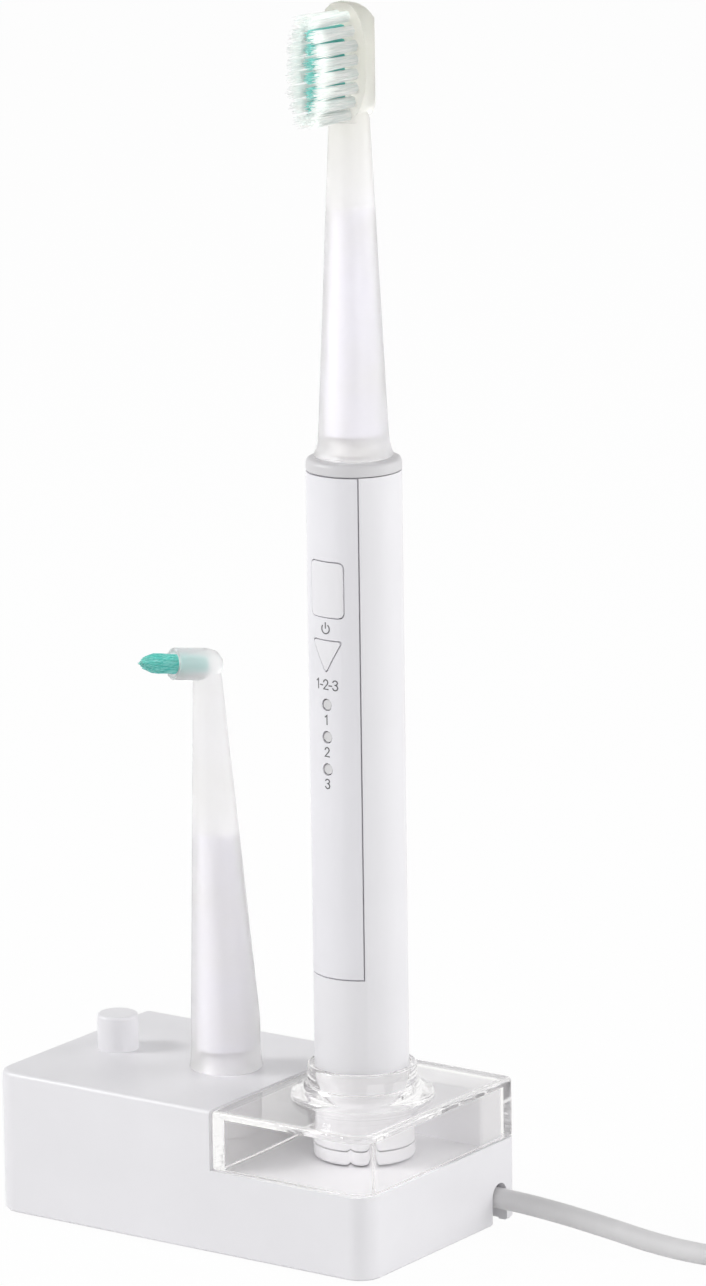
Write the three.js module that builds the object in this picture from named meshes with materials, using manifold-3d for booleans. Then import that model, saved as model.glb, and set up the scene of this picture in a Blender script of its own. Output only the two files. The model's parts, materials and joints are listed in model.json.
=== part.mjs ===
// Electric toothbrush standing in its induction charger, with one spare brush head on a storage peg.
// Millimetres, +Z up. Origin: centre of the charger's footprint, on the surface its feet rest on.
// The charger's front faces -Y, its cord leaves through the right side (+X).

import * as THREE from 'three';
import { mergeVertices } from 'three/addons/utils/BufferGeometryUtils.js';
import Module from 'manifold-3d';

const wasm = await Module();
wasm.setup();

// ---------------------------------------------------------------- driving dimensions
const BASE_W = 97;            // charger, along X
const BASE_D = 55.5;          // charger, along Y
const BASE_TOP = 31.7;        // top of the raised left part and of the clear cover
const BASE_BOTTOM = 0.5;      // the housing's rim stands this far off the table on its feet
const LEDGE_Z = 18.5;         // floor of the charging well, where the clear cover rests
const WELL_X = 8.5;           // the well starts here and runs to the right-hand side
const WALL = 2.2;             // moulded housing wall
const FRONT_R = 5;            // vertical corner radius at the front
const BACK_R = 1.6;           // vertical corner radius at the back
const GAP = 0.3;              // assembly gap between separate pieces

const COVER_WALL = 2.4;       // clear cover side walls
const COVER_TOP = 2;          // clear cover top plate
const COLLAR_H = 7;           // collar height above the top plate
const COLLAR_BORE = 10.35;    // the 20 mm handle slides through it
const COLLAR_FOOT_R = 15.2;   // the collar's flare, where it meets the top plate
const COLLAR_FLARE = 5.3;     // the flare's height

const HANDLE_X = (WELL_X + BASE_W / 2) / 2;  // handle axis: middle of the well, on the Y centre line
const HANDLE_R = 10;
const HANDLE_H = 150;         // bottom cap to top ring
const HANDLE_TURN = -4.5;     // degrees: the handle stands turned a little to the left
const CAP_H = 2.9;            // visible height of the bottom cap
const RING_H = 2.5;           // visible height of the grey top ring
const SHELL_R = 8.2;          // inside radius of the handle shell
const PANEL_HALF = 44.6;      // degrees: half the arc of the front panel
const PANEL_BOTTOM = 40.1;    // lower end of the panel recess, above the handle's foot
const PANEL_T = 0.9;

const PEG_R = 4.5;            // storage pegs
const PEG_H = 7.9;
const PEG_BARE_X = -35.7;
const PEG_SPARE_X = -6.9;
const SPARE_TURN = -21;       // degrees: the spare head's tip points forward and to the left
const BOSS_R = 3.6;           // charging boss that enters the handle's foot
const BOSS_H = 5;

const CORD_D = 4.5;
const CORD_Y = 21.8;          // where the cord leaves the right side
const CORD_EXIT_Z = 6.1;

// ---------------------------------------------------------------- materials
const plastic = (color, roughness = 0.3) => new THREE.MeshStandardMaterial({ color, roughness, metalness: 0 });
const metal = (color, roughness = 0.35) => new THREE.MeshStandardMaterial({ color, roughness, metalness: 1 });
const whiteAbs = plastic(0xe9e9ec, 0.22);
const greyAbs = plastic(0xc6c6c9, 0.3);
const clearAcrylic = new THREE.MeshStandardMaterial({
  color: 0xf2f2f0, roughness: 0.05, metalness: 0, transparent: true, opacity: 0.3,
});
const frosted = new THREE.MeshStandardMaterial({
  color: 0xe9e8e4, roughness: 0.4, metalness: 0, transparent: true, opacity: 0.75,
});
const innerWhite = plastic(0xeeeef4, 0.4);
const whiteNylon = plastic(0xf1eeec, 0.6);
const greenNylon = plastic(0x52c4b0, 0.6);
const cordGrey = plastic(0xb8b8b8, 0.5);
const darkRubber = plastic(0x3c3c3e, 0.8);
const greyRubber = plastic(0xa9a9aa, 0.7);
const lensGrey = plastic(0xb4b4b4, 0.25);
const steel = metal(0xb9bbbd, 0.3);
const copper = metal(0xb8713a, 0.4);
const ferrite = plastic(0x35353a, 0.6);
const boardGreen = plastic(0x2c6b45, 0.5);
const cellFoil = plastic(0x3c8a66, 0.35);
const brassPin = metal(0xc9a85a, 0.35);

// ---------------------------------------------------------------- geometry helpers
const RAD = Math.PI / 180;

// One closed solid from a closed geometry: shared points are merged and collapsed faces dropped.
function solidOf(geometry) {
  const bare = geometry.clone();
  for (const name of Object.keys(bare.attributes)) {
    if (name !== 'position') bare.deleteAttribute(name);
  }
  const welded = mergeVertices(bare, 1e-4);
  const faces = [];
  for (let i = 0; i < welded.index.count; i += 3) {
    const [a, b, c] = [0, 1, 2].map((k) => welded.index.getX(i + k));
    if (a !== b && b !== c && c !== a) faces.push(a, b, c);
  }
  return new wasm.Manifold(new wasm.Mesh({
    numProp: 3,
    vertProperties: new Float32Array(welded.attributes.position.array),
    triVerts: new Uint32Array(faces),
  }));
}

function geometryOf(solid) {
  const mesh = solid.getMesh();
  const geometry = new THREE.BufferGeometry();
  geometry.setAttribute('position', new THREE.BufferAttribute(new Float32Array(mesh.vertProperties), 3));
  geometry.setIndex(new THREE.BufferAttribute(new Uint32Array(mesh.triVerts), 1));
  geometry.computeVertexNormals();
  return geometry;
}

const joined = (first, ...others) => others.reduce((sum, next) => sum.add(next), first);
const without = (first, ...others) => others.reduce((left, next) => left.subtract(next), first);

// Revolves a profile of [radius, height] points, listed counter-clockwise, about +Z.
function revolve(profile, segments = 48) {
  const points = profile.map(([r, z]) => new THREE.Vector2(r, z));
  const onAxis = profile[0][0] === 0 && profile.at(-1)[0] === 0;
  if (!onAxis) points.push(points[0].clone());
  return solidOf(new THREE.LatheGeometry(points, segments).rotateX(Math.PI / 2));
}

const disc = (r, z0, z1, segments = 32) => revolve([[0, z0], [r, z0], [r, z1], [0, z1]], segments);
const ring = (r0, r1, z0, z1, segments = 48) => revolve([[r0, z0], [r1, z0], [r1, z1], [r0, z1]], segments);

// Points of a quarter arc about (r, z), from one angle to another in degrees.
function arc(r, z, radius, from, to, steps = 4) {
  return Array.from({ length: steps + 1 }, (_, i) => {
    const a = (from + ((to - from) * i) / steps) * RAD;
    return [r + radius * Math.cos(a), z + radius * Math.sin(a)];
  });
}

// Extrudes a shape from z0 to z1, with its edges rounded by round.
function prism(shape, z0, z1, round = 0, roundSteps = 3, curveSegments = 6) {
  const geometry = new THREE.ExtrudeGeometry(shape, {
    depth: z1 - z0 - 2 * round,
    bevelEnabled: round > 0,
    bevelThickness: round,
    bevelSize: round,
    bevelOffset: -round,
    bevelSegments: roundSteps,
    curveSegments,
  });
  return solidOf(geometry.translate(0, 0, z0 + round));
}

// A rectangle with its own radius at each corner: front left, front right, back right, back left.
function roundedRect(x0, y0, x1, y1, radii) {
  const [fl, fr, br, bl] = Array.isArray(radii) ? radii : [radii, radii, radii, radii];
  const corner = (x, y, r, from) => arc(x, y, r, from, from + 90, r > 3 ? 4 : r > 1 ? 3 : 2);
  const points = [
    ...corner(x1 - fr, y0 + fr, fr, -90),
    ...corner(x1 - br, y1 - br, br, 0),
    ...corner(x0 + bl, y1 - bl, bl, 90),
    ...corner(x0 + fl, y0 + fl, fl, 180),
  ];
  return new THREE.Shape(points.map(([x, y]) => new THREE.Vector2(x, y)));
}

function block(x0, y0, z0, x1, y1, z1) {
  const box = new THREE.BoxGeometry(x1 - x0, y1 - y0, z1 - z0);
  return solidOf(box.translate((x0 + x1) / 2, (y0 + y1) / 2, (z0 + z1) / 2));
}

// A shape drawn in X and Z, extruded along Y from y0 to y1.
function facing(shape, y0, y1, curveSegments = 6) {
  const geometry = new THREE.ExtrudeGeometry(shape, { depth: y1 - y0, bevelEnabled: false, curveSegments });
  return solidOf(geometry.rotateX(Math.PI / 2).translate(0, y1, 0));
}

// Part of a ring, centred on -Y, half degrees to each side of middle.
function sector(r0, r1, half, z0, z1, middle = -90, steps = 16) {
  const shape = new THREE.Shape();
  const [from, to] = [(middle - half) * RAD, (middle + half) * RAD];
  for (let i = 0; i <= steps; i += 1) {
    const a = from + ((to - from) * i) / steps;
    const place = [r1 * Math.cos(a), r1 * Math.sin(a)];
    if (i === 0) shape.moveTo(...place);
    else shape.lineTo(...place);
  }
  for (let i = steps; i >= 0; i -= 1) {
    const a = from + ((to - from) * i) / steps;
    shape.lineTo(r0 * Math.cos(a), r0 * Math.sin(a));
  }
  return prism(shape, z0, z1);
}

// A tube along a route of points, with flat ends.
function tube(points, radius, steps, sides = 10) {
  const route = new THREE.CatmullRomCurve3(points.map((p) => new THREE.Vector3(...p)));
  const section = new THREE.Shape();
  for (let i = 0; i < sides; i += 1) {
    const a = (2 * Math.PI * i) / sides;
    const place = [radius * Math.cos(a), radius * Math.sin(a)];
    if (i === 0) section.moveTo(...place);
    else section.lineTo(...place);
  }
  return solidOf(new THREE.ExtrudeGeometry(section, { steps, extrudePath: route, bevelEnabled: false }));
}

const object = new THREE.Group();
const handset = new THREE.Group();
handset.position.set(HANDLE_X, 0, LEDGE_Z + GAP);
handset.rotation.z = HANDLE_TURN * RAD;
const spare = new THREE.Group();
spare.position.set(PEG_SPARE_X, 0, BASE_TOP + GAP);
spare.rotation.z = SPARE_TURN * RAD;
object.add(handset, spare);

function add(group, name, solid, material) {
  const mesh = new THREE.Mesh(geometryOf(solid), material);
  mesh.name = name;
  group.add(mesh);
}

// ---------------------------------------------------------------- charger housing
const HALF_W = BASE_W / 2;
const HALF_D = BASE_D / 2;
const BASE_RADII = [FRONT_R, FRONT_R, BACK_R, BACK_R];
const STEP_BLOCK = {
  x0: WELL_X + GAP + COVER_WALL + GAP, x1: HALF_W - COVER_WALL - GAP, y0: 17.2, y1: HALF_D - COVER_WALL - GAP,
};
const SCREWS = [[-41, -20.5], [-41, 20.5], [41, -20.5], [22, 20.5]];
const FEET = [[-32, -19.5], [-32, 19.5], [32, -19.5], [32, 19.5]];
const CHANNEL = { x0: 38, half: 4.8, top: 12.2, slotHalf: 2.7, slotTop: 9.4 };

function cordTunnel(x0, x1) {
  const { slotHalf, slotTop } = CHANNEL;
  const arch = new THREE.Shape();
  arch.moveTo(-slotHalf, -1);
  arch.lineTo(slotHalf, -1);
  arch.lineTo(slotHalf, slotTop - slotHalf);
  arch.absarc(0, slotTop - slotHalf, slotHalf, 0, Math.PI, false);
  return facing(arch, x0, x1, 8).rotate([0, 0, -90]).translate([0, CORD_Y, 0]);
}

function baseHousing() {
  const outline = roundedRect(-HALF_W, -HALF_D, HALF_W, HALF_D, BASE_RADII);
  const lower = prism(outline, BASE_BOTTOM, 20, 0.5, 1);
  const upper = prism(outline, 8, BASE_TOP, 1.1, 2);
  const well = block(WELL_X, -HALF_D - 1, LEDGE_Z, HALF_W + 1, HALF_D + 1, BASE_TOP + 1);
  const stepTop = BASE_TOP - COVER_TOP - GAP;
  const stepShape = roundedRect(STEP_BLOCK.x0, STEP_BLOCK.y0, STEP_BLOCK.x1, STEP_BLOCK.y1, 0.8);
  const step = prism(stepShape, LEDGE_Z - 1, stepTop, 0.4, 2, 3);
  const inset = HALF_W - WALL;
  const leftRoom = roundedRect(-inset, -HALF_D + WALL, WELL_X - WALL, HALF_D - WALL, [3, 1, 1, 1]);
  const lowRoom = roundedRect(-inset, -HALF_D + WALL, inset, HALF_D - WALL, [3, 3, 1, 1]);
  const stepRoom = block(
    STEP_BLOCK.x0 + WALL, STEP_BLOCK.y0 + WALL, 14, STEP_BLOCK.x1 - WALL, STEP_BLOCK.y1 - WALL, stepTop - WALL,
  );
  let body = joined(without(joined(lower, upper), well), step);
  body = without(
    body,
    prism(leftRoom, -1, BASE_TOP - WALL - 0.2, 0, 0, 2),
    prism(lowRoom, -1, LEDGE_Z - WALL, 0, 0, 2),
    stepRoom,
  );
  for (const x of [PEG_BARE_X, PEG_SPARE_X]) body = joined(body, storagePeg(x));
  body = joined(body, chargingBoss());
  for (const [x, y] of SCREWS) {
    const roof = x < WELL_X ? BASE_TOP - WALL : LEDGE_Z - WALL;
    body = joined(body, disc(3.2, 2.7, roof + 0.5, 8).translate([x, y, 0]));
    body = without(body, disc(1.5, 2, 14, 8).translate([x, y, 0]));
  }
  const { x0, half, top } = CHANNEL;
  const channel = block(x0, CORD_Y - half, BASE_BOTTOM + 0.3, HALF_W - 1, CORD_Y + half - 1.2, top);
  body = without(joined(body, channel), cordTunnel(x0 - 1, HALF_W + 1));
  return without(body, chargingBossCore(), ...[PEG_BARE_X, PEG_SPARE_X].map(storagePegCore));
}

function storagePeg(x) {
  const top = BASE_TOP + PEG_H;
  return revolve(
    [[0, BASE_TOP - 1], [PEG_R, BASE_TOP - 1], ...arc(PEG_R - 0.8, top - 0.8, 0.8, 0, 90, 2), [0, top]],
    24,
  ).translate([x, 0, 0]);
}

const storagePegCore = (x) => disc(PEG_R - 1.6, BASE_TOP - 6, BASE_TOP + PEG_H - 1.8, 10).translate([x, 0, 0]);

function chargingBoss() {
  const top = LEDGE_Z + BOSS_H;
  const profile = [[0, LEDGE_Z - 1], [BOSS_R, LEDGE_Z - 1], ...arc(BOSS_R - 0.6, top - 0.6, 0.6, 0, 90, 2), [0, top]];
  return revolve(profile, 20).translate([HANDLE_X, 0, 0]);
}

const chargingBossCore = () => disc(BOSS_R - 1, LEDGE_Z - 6, LEDGE_Z + BOSS_H - 1.2, 12).translate([HANDLE_X, 0, 0]);

function bottomPlate() {
  const edge = WALL + GAP;
  const shape = roundedRect(-HALF_W + edge, -HALF_D + edge, HALF_W - edge, HALF_D - edge, [2.7, 2.7, 0.8, 0.8]);
  let plate = prism(shape, 0.6, 2.4, 0, 0, 3);
  plate = without(plate, block(CHANNEL.x0 - GAP, CORD_Y - CHANNEL.half - GAP, 0, HALF_W, HALF_D, 4));
  for (const [x, y] of SCREWS) {
    plate = without(plate, revolve([[0, 0], [3, 0], [3, 1.3], [1.6, 2.2], [1.6, 4], [0, 4]], 8).translate([x, y, 0]));
  }
  for (const [x, y] of FEET) plate = without(plate, disc(5.45, 0, 1.5, 10).translate([x, y, 0]));
  for (const [x, y] of [[-30, -12], [-30, 12], [10, -12], [10, 12]]) {
    plate = joined(plate, disc(1.8, 2, 4.7, 6).translate([x, y, 0]));
  }
  return joined(plate, ring(6, 8, 2, 3, 12).translate([HANDLE_X, 0, 0]));
}

const foot = ([x, y]) => revolve([[0, 0], [4.2, 0], [5, 0.6], [5, 1.2], [0, 1.2]], 10).translate([x, y, 0]);

// Countersunk screw, driven up into its post.
function screw([x, y]) {
  const shank = revolve([[0, 0.75], [2.6, 0.75], [1.2, 2.1], [1.2, 11], [0, 12.4]], 8);
  const slot = block(-1.6, -0.3, 0, 1.6, 0.3, 1.2);
  return without(shank, slot).translate([x, y, 0]);
}

function chargerBoard() {
  const board = block(-37, -15.5, 5, 15, 15.5, 6.4);
  return joined(
    board,
    block(-34, 2, 6.2, -20, 13, 15),
    block(-14, -12, 6.2, -8, -4, 9.6),
    block(0, 4, 6.2, 9, 12, 8.8),
    disc(1.6, 6.2, 13, 10).translate([4, -10, 0]),
  );
}

const filterCapacitor = () => revolve(
  [[0, 0], [4.3, 0], [4.7, 0.4], [4.7, 1.8], [4.4, 2.2], [4.7, 2.6], [4.7, 15.6], [4.3, 16], [0, 16]],
  10,
).translate([-26, -7, 6.7]);

const coilBobbin = () => revolve(
  [[3, 3.3], [10, 3.3], [10, 4.3], [4.2, 4.3], [4.2, 14.6], [10, 14.6], [10, 15.6], [3, 15.6]],
  14,
).translate([HANDLE_X, 0, 0]);

// Copper winding: its outside shows the turns as fine ridges.
function winding(r0, r1, z0, z1, pitch, segments = 40) {
  const turns = Math.max(1, Math.round((z1 - z0) / pitch));
  const step = (z1 - z0) / turns;
  const profile = [[r0, z0]];
  for (let i = 0; i < turns; i += 1) {
    profile.push([r1 - 0.15, z0 + step * i], [r1, z0 + step * (i + 0.5)]);
  }
  profile.push([r1 - 0.15, z1], [r0, z1]);
  return revolve(profile, segments);
}

const primaryCoil = () => winding(4.5, 9.4, 4.6, 14.3, 3.2, 14).translate([HANDLE_X, 0, 0]);
const ferriteCore = () => disc(2.3, 3.3, LEDGE_Z + BOSS_H - 1.6, 16).translate([HANDLE_X, 0, 0]);

// Rubber bushing that grips the cord inside the tunnel.
function cordBushing() {
  const grip = new THREE.Shape();
  const { slotHalf, slotTop } = CHANNEL;
  const half = slotHalf - GAP;
  grip.moveTo(-half, 0.9);
  grip.lineTo(half, 0.9);
  grip.lineTo(half, slotTop - slotHalf);
  grip.absarc(0, slotTop - slotHalf, half, 0, Math.PI, false);
  const body = facing(grip, 38.3, 41.7, 6);
  const flange = facing(roundedRect(-3.4, 2.8, 3.4, 10.4, 1.2), 34.8, 37.2);
  const neck = facing(roundedRect(-1.6, 4.2, 1.6, 8.4, 0.8), 37, 38.5);
  return joined(body, neck, flange).rotate([0, 0, -90]).translate([0, CORD_Y, 0]);
}

add(object, 'base_housing', baseHousing(), whiteAbs);
add(object, 'bottom_plate', bottomPlate(), whiteAbs);
FEET.forEach((place, i) => add(object, `rubber_foot_${i + 1}`, foot(place), greyRubber));
SCREWS.forEach((place, i) => add(object, `bottom_screw_${i + 1}`, screw(place), steel));
add(object, 'charger_board', chargerBoard(), boardGreen);
add(object, 'filter_capacitor', filterCapacitor(), ferrite);
add(object, 'coil_bobbin', coilBobbin(), innerWhite);
add(object, 'primary_coil', primaryCoil(), copper);
add(object, 'ferrite_core', ferriteCore(), ferrite);
add(object, 'cord_bushing', cordBushing(), cordGrey);

// ---------------------------------------------------------------- clear cover
// A clear cap over the well. Its collar flares into the top plate and guides the handle.
function clearCover() {
  const x0 = WELL_X + GAP;
  const z0 = LEDGE_Z + GAP;
  const outline = roundedRect(x0, -HALF_D, HALF_W, HALF_D, [1.2, FRONT_R, BACK_R, 1.2]);
  const room = roundedRect(
    x0 + COVER_WALL, -HALF_D + COVER_WALL, HALF_W - COVER_WALL, HALF_D - COVER_WALL,
    [0.6, FRONT_R - COVER_WALL, 0.6, 0.6],
  );
  const lower = prism(outline, z0, z0 + 6, 0.3, 1);
  const upper = prism(outline, z0 + 2, BASE_TOP, 0.9, 2);
  const flareR = COLLAR_FOOT_R - 0.6;
  const flareTop = BASE_TOP + COLLAR_FLARE;
  const collar = revolve([
    [0, BASE_TOP - 1],
    [COLLAR_FOOT_R, BASE_TOP - 1],
    [COLLAR_FOOT_R, BASE_TOP + 0.4],
    [COLLAR_FOOT_R - 0.2, BASE_TOP + 0.85],
    ...arc(flareR, flareTop, 1, -90, -180, 3).map(([r, z]) => [
      flareR + (r - flareR) * (flareR - 11.6), flareTop + (z - flareTop) * (COLLAR_FLARE - 1.15),
    ]),
    ...arc(11.15, BASE_TOP + COLLAR_H - 0.45, 0.45, 0, 90, 2),
    [0, BASE_TOP + COLLAR_H],
  ], 28).translate([HANDLE_X, 0, 0]);
  const bore = revolve([
    [0, z0],
    [COLLAR_BORE + 0.55, z0],
    [COLLAR_BORE + 0.55, BASE_TOP + 2.1],
    [COLLAR_BORE, BASE_TOP + 2.3],
    [COLLAR_BORE, BASE_TOP + COLLAR_H + 1],
    [0, BASE_TOP + COLLAR_H + 1],
  ], 28).translate([HANDLE_X, 0, 0]);
  return without(joined(lower, upper, collar), prism(room, z0 - 1, BASE_TOP - COVER_TOP, 0, 0, 5), bore);
}

add(object, 'clear_cover', clearCover(), clearAcrylic);

// ---------------------------------------------------------------- handset: casing
const SPIGOT_R = SHELL_R - GAP;
const BOARD_Y = -6.2;         // front face of the handset's circuit board
const POWER = { z: 123.55, halfX: 4.13, halfZ: 5.8, round: 1 };
const MODE = { top: 112.7, tip: 106, halfX: 3.66 };
const LED_Z = [99.07, 92.16, 85.27];
const LED_R = 1.1;

const powerOutline = (grow) => roundedRect(
  -POWER.halfX - grow, POWER.z - POWER.halfZ - grow, POWER.halfX + grow, POWER.z + POWER.halfZ + grow,
  POWER.round + Math.max(grow, 0),
);

// Triangle pointing down, with blunted corners; grow offsets its sides.
function modeOutline(grow) {
  const { top, tip, halfX } = MODE;
  const reach = Math.hypot(halfX, top - tip);
  const corners = [
    [-halfX - (grow * (reach + halfX)) / (top - tip), top + grow],
    [halfX + (grow * (reach + halfX)) / (top - tip), top + grow],
    [0, tip - (grow * reach) / halfX],
  ];
  const shape = new THREE.Shape();
  const blunt = 0.13;
  corners.forEach((corner, i) => {
    const before = corners[(i + 2) % 3];
    const after = corners[(i + 1) % 3];
    const enter = corner.map((v, k) => v + (before[k] - v) * blunt);
    const leave = corner.map((v, k) => v + (after[k] - v) * blunt);
    if (i === 0) shape.moveTo(...enter);
    else shape.lineTo(...enter);
    shape.quadraticCurveTo(...corner, ...leave);
  });
  shape.closePath();
  return shape;
}

function handleShell() {
  const wall = ring(SHELL_R, HANDLE_R, CAP_H + GAP, HANDLE_H - RING_H - 0.2, 30);
  const recess = sector(HANDLE_R - PANEL_T - 0.15, HANDLE_R + 2, PANEL_HALF, PANEL_BOTTOM, HANDLE_H, -90, 12);
  const hatch = facing(roundedRect(-5.3, MODE.tip - 3, 5.3, POWER.z + POWER.halfZ + 1.6, 1), -12, -5);
  const pipes = LED_Z.map((z) => facing(new THREE.Shape().absarc(0, z, LED_R + 0.35, 0, 2 * Math.PI), -12, -5, 6));
  return without(wall, recess, hatch, ...pipes);
}

function frontPanel() {
  const skin = sector(
    HANDLE_R - PANEL_T, HANDLE_R, PANEL_HALF - 1.6, PANEL_BOTTOM + GAP, HANDLE_H - RING_H - 0.3, -90, 12,
  );
  const pipes = LED_Z.map((z) => facing(new THREE.Shape().absarc(0, z, LED_R + 0.25, 0, 2 * Math.PI), -12, -5, 6));
  return without(skin, facing(powerOutline(0.22), -12, -5), facing(modeOutline(0.22), -12, -5), ...pipes);
}

// The grey ring closes the top of the shell; its web carries the shaft seal.
function topRing() {
  const top = HANDLE_H;
  return revolve([
    [3.3, top - 1.6],
    [6.6, top - 1.6],
    [6.6, top - 9],
    [SPIGOT_R, top - 9],
    [SPIGOT_R, top - RING_H],
    [HANDLE_R, top - RING_H],
    ...arc(HANDLE_R - 0.9, top - 0.9, 0.9, 0, 90, 2),
    [3.3, top],
  ], 28);
}

// Foot of the handset, with the blind well that fits over the charging boss.
function bottomCap() {
  const wellR = BOSS_R + 0.5;
  const wellTop = BOSS_H + 0.6;
  return revolve([
    [0, wellTop],
    [wellR, wellTop],
    [wellR + 0.2, 0],
    [HANDLE_R - 0.8, 0],
    ...arc(HANDLE_R - 0.8, 0.8, 0.8, -90, 0, 2).slice(1),
    [HANDLE_R, CAP_H],
    [SPIGOT_R, CAP_H],
    [SPIGOT_R, 5.2],
    [7.2, 5.2],
    [7.2, 6.6],
    [SPIGOT_R, 6.6],
    [SPIGOT_R, 9],
    [6.6, 9],
    [6.6, 1.4],
    [wellR + 0.8, 1.4],
    [wellR + 0.8, wellTop + 0.8],
    [0, wellTop + 0.8],
  ], 26);
}

// A ring of round section, such as an o-ring.
const torus = (centre, radius, z, segments = 18) => revolve(
  arc(centre, z, radius, 0, 288, 4),
  segments,
);

// A button: its cap fills the opening in the panel, and its hidden rim keeps it in.
function button(outlineOf) {
  const cap = facing(outlineOf(0), -12, -5).intersect(ring(8.3, HANDLE_R + 0.12, 100, 135, 36));
  const rim = facing(outlineOf(0.75), -12, -5).intersect(ring(8.25, 8.75, 100, 135, 30));
  return joined(cap, rim);
}

const lightPipe = (z) => facing(new THREE.Shape().absarc(0, z, LED_R, 0, 2 * Math.PI), -9.65, -7.2, 6);

add(handset, 'handle_shell', handleShell(), whiteAbs);
add(handset, 'front_panel', frontPanel(), whiteAbs);
add(handset, 'top_ring', topRing(), greyAbs);
add(handset, 'bottom_cap', bottomCap(), whiteAbs);
add(handset, 'cap_seal', torus(7.68, 0.38, 5.9), darkRubber);
add(handset, 'power_button', button(powerOutline), whiteAbs);
add(handset, 'mode_button', button(modeOutline), whiteAbs);
LED_Z.forEach((z, i) => add(handset, `led_lens_${i + 1}`, lightPipe(z), lensGrey));

// ---------------------------------------------------------------- handset: inside
// Carrier: a half shell behind the cell and the motor, tied by cross walls.
function carrier() {
  const wall = (z0, z1, hole) => {
    const plate = disc(SPIGOT_R, z0, z1, 12);
    return hole ? without(plate, disc(hole, z0 - 1, z1 + 1, 8)) : plate;
  };
  const back = sector(6.9, SPIGOT_R, 96, 10, 138, 90, 6);
  const walls = joined(wall(12.4, 13.6), wall(64, 65.2), wall(75.4, 76.6, 2), wall(134, 135.2, 2.4));
  return without(joined(back, walls), block(-6, -9, 70, 6, BOARD_Y + 1.1, 140));
}

function cell() {
  return revolve([
    [0, 18.2], [4.7, 18.2], [5.25, 18.8], [5.25, 61], [4.7, 61.6], [1.9, 61.6], [1.9, 62.6], [0, 62.6],
  ], 12);
}

// Coil spring under the cell.
function cellSpring() {
  const turns = 3;
  const points = Array.from({ length: turns * 7 + 1 }, (_, i) => {
    const a = (2 * Math.PI * i) / 7;
    const r = 4 - (1.6 * i) / (turns * 7);
    return [r * Math.cos(a), r * Math.sin(a), 14.3 + (3.2 * i) / (turns * 7)];
  });
  return tube(points, 0.3, turns * 7, 4);
}

const cellContact = () => joined(disc(3.4, 63, 63.5, 14), block(-1.5, 3, 63, 1.5, 5.8, 63.5));

function handsetBoard() {
  const board = block(-4.2, BOARD_Y, 78, 4.2, BOARD_Y + 0.8, 131);
  const switches = [POWER.z, (2 * MODE.top + MODE.tip) / 3].map((z) => joined(
    block(-2.2, BOARD_Y - 0.9, z - 2.2, 2.2, BOARD_Y + 0.1, z + 2.2),
    facing(new THREE.Shape().absarc(0, z, 1, 0, 2 * Math.PI), BOARD_Y - 1.35, BOARD_Y - 0.8, 4),
  ));
  const leds = LED_Z.map((z) => block(-0.8, BOARD_Y - 0.6, z - 0.5, 0.8, BOARD_Y + 0.1, z + 0.5));
  return joined(board, ...switches, ...leds);
}

const receiverCoil = () => winding(5.2, 6.3, 1.7, 8.6, 3.4, 14);

// Drive: a ferrite rotor on the shaft swings a few degrees inside the stator winding.
function motorCase() {
  return revolve([
    [1.9, 76.9], [4.6, 76.9], [5.05, 77.4], [5.05, 121], [4.4, 121], [4.4, 78], [1.9, 78],
  ], 14);
}

const motorBearing = () => revolve([
  [1.8, 121.3], [5.05, 121.3], [5.05, 122.6], [3, 122.6], [3, 124.4], [1.8, 124.4],
], 14);

const statorCoil = () => winding(3.45, 4.1, 86, 112, 9, 12);
const rotorMagnet = () => ring(1.8, 3.1, 87, 111, 12);

// Steel shaft with a flat near its tip that keys the brush head.
function driveShaft() {
  const rod = revolve([[0, 79], [1.2, 79], [1.5, 79.4], [1.5, 171.4], [1.1, 172], [0, 172]], 16);
  return without(rod, block(-3, 0.95, HANDLE_H + 8.6, 3, 3, 173));
}

// Rubber boot that seals the shaft where it leaves the handle.
const shaftSeal = () => revolve([
  [1.75, HANDLE_H + GAP],
  [4.3, HANDLE_H + GAP],
  [4.4, HANDLE_H + 2],
  [3.3, HANDLE_H + 3.2],
  [3.5, HANDLE_H + 4.2],
  [2.6, HANDLE_H + 5.2],
  [2.7, HANDLE_H + 6.2],
  [1.75, HANDLE_H + 6.4],
], 14);

add(handset, 'carrier', carrier(), greyAbs);
add(handset, 'cell', cell(), cellFoil);
add(handset, 'cell_spring', cellSpring(), steel);
add(handset, 'cell_contact', cellContact(), brassPin);
add(handset, 'handset_board', handsetBoard(), boardGreen);
add(handset, 'receiver_coil', receiverCoil(), copper);
add(handset, 'motor_case', motorCase(), steel);
add(handset, 'motor_bearing', motorBearing(), brassPin);
add(handset, 'stator_coil', statorCoil(), copper);
add(handset, 'rotor_magnet', rotorMagnet(), ferrite);
add(handset, 'drive_shaft', driveShaft(), steel);
add(handset, 'shaft_seal', shaftSeal(), darkRubber);

// ---------------------------------------------------------------- brush head
const HEAD_Z = HANDLE_H + GAP;   // the head's foot, above the handle's foot
const SOCKET_R = PEG_R + 0.4;    // wide mouth of a head's socket, over the seal or a storage peg
const CORE_Z = 4.7;              // the white core starts above a clear rim
const SKIN = 1.15;               // frosted skin over the core

// Outside radius of the head's neck at height z above its foot.
function neckRadius(z) {
  const rise = z - 5;
  return rise < 0 ? 7.28 + 1.17 * (rise / 5) ** 2 : 7.28 - 0.0425 * rise - 0.00006 * rise ** 2;
}

const steps = (from, to, count) => Array.from({ length: count + 1 }, (_, i) => from + ((to - from) * i) / count);

const PLATE = { z: 82.4, halfX: 6.5, halfZ: 12.1, front: -2.2, back: 4.2 };

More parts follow.
